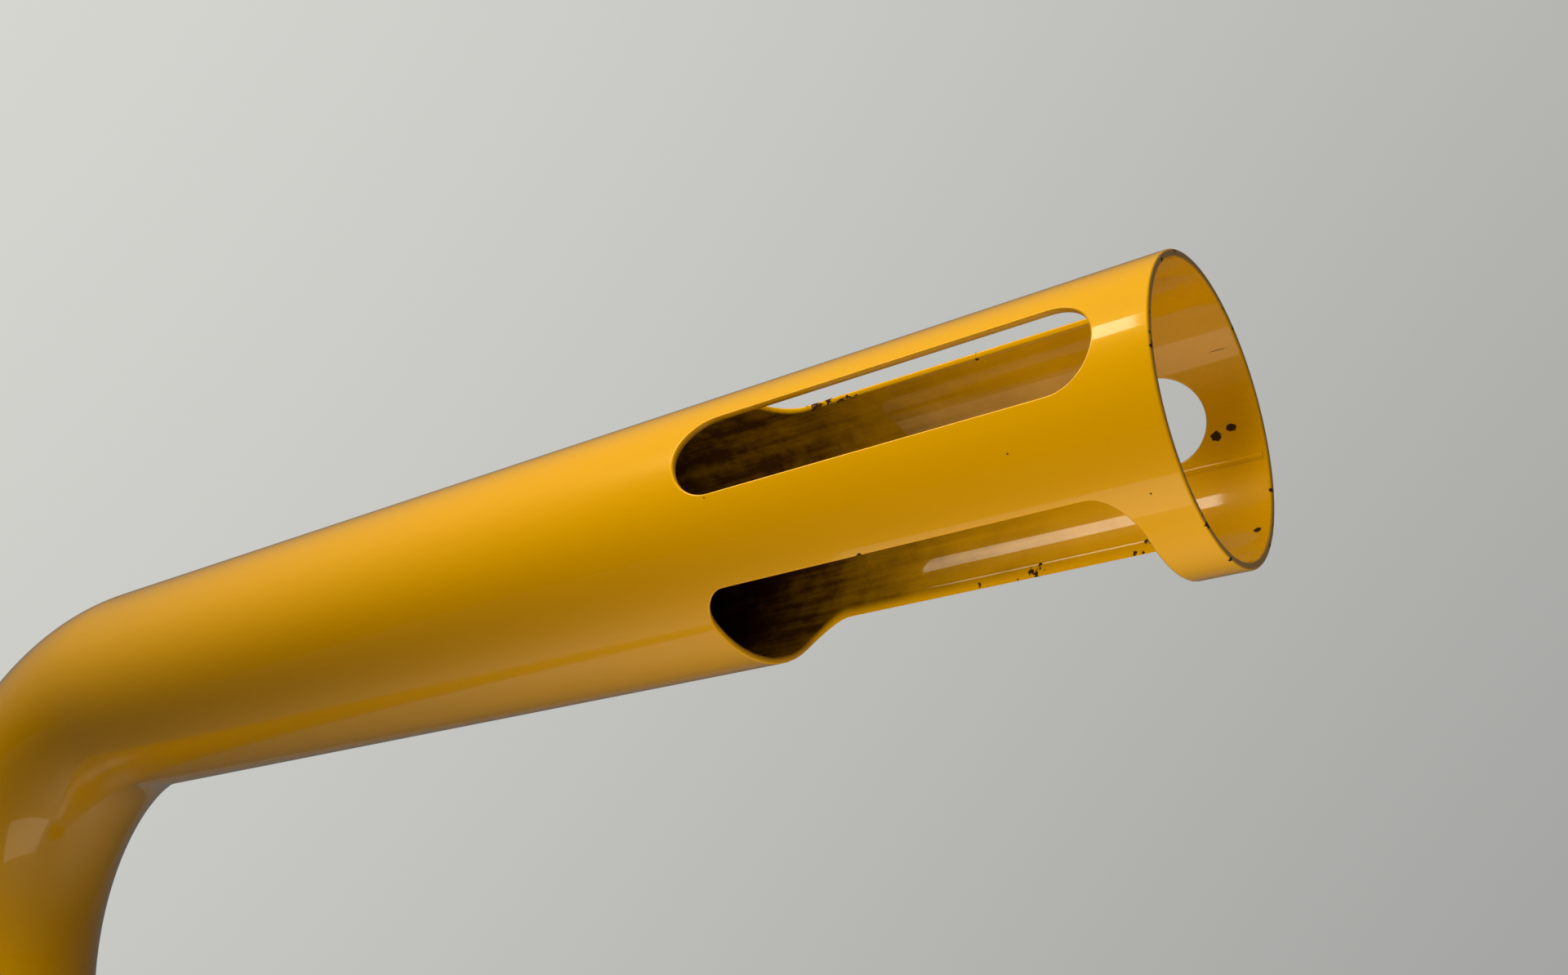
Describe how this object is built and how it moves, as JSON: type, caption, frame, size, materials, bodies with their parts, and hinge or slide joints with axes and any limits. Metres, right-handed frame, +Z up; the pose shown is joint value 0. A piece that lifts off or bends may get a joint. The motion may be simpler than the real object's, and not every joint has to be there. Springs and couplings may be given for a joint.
{
  "type": "steel safety bollard",
  "caption": "Cane-shaped steel tube post on a bolt-down flange, with a service door and a slotted, open lamp head that faces down.",
  "frame": {"origin": "centre of the flange's underside, on the ground", "axes": "+Z up along the leg, +X along the arm towards the open mouth, +Y to the left seen from the service door"},
  "size_m": [0.518, 0.2, 0.93],
  "materials": {
    "yellow_enamel": "glossy yellow-orange enamel, chipped and dirty at the cut edges",
    "black_rubber": "matt moulded EPDM",
    "stainless_steel": "plain stainless",
    "zinc_steel": "bright zinc plated",
    "white_polyamide": "moulded",
    "brass": "turned",
    "spring_steel": "rolled strip",
    "bakelite": "moulded phenolic",
    "porcelain": "glazed",
    "phosphor_bronze": "rolled strip"
  },
  "bodies": {
    "post": {"leg_tube": "yellow_enamel", "elbow": "yellow_enamel", "arm_tube": "yellow_enamel", "base_flange": "yellow_enamel", "base_weld": "yellow_enamel", "cable_grommet": "black_rubber", "door_lugs": "zinc_steel", "gear_tray": "zinc_steel", "tray_screws": "zinc_steel", "terminal_block": "white_polyamide", "terminal_clamps": "brass", "terminal_screws": "brass", "earth_stud": "brass", "earth_washers": "zinc_steel", "earth_nuts": "brass", "holder_bracket": "spring_steel", "holder_nipple": "brass", "holder_locknut": "brass", "holder_shell": "bakelite", "holder_insert": "porcelain", "screw_shell": "brass", "centre_contact": "phosphor_bronze", "side_contact": "phosphor_bronze", "holder_terminal_screws": "brass"},
    "door": {"service_door": "yellow_enamel", "door_gasket": "black_rubber", "door_screws": "stainless_steel"}
  },
  "joints": [
    {"name": "door_lift", "type": "slide", "parent": "post", "child": "door", "axis": [-1, 0, 0], "range_m": [0, 0.04]}
  ]
}
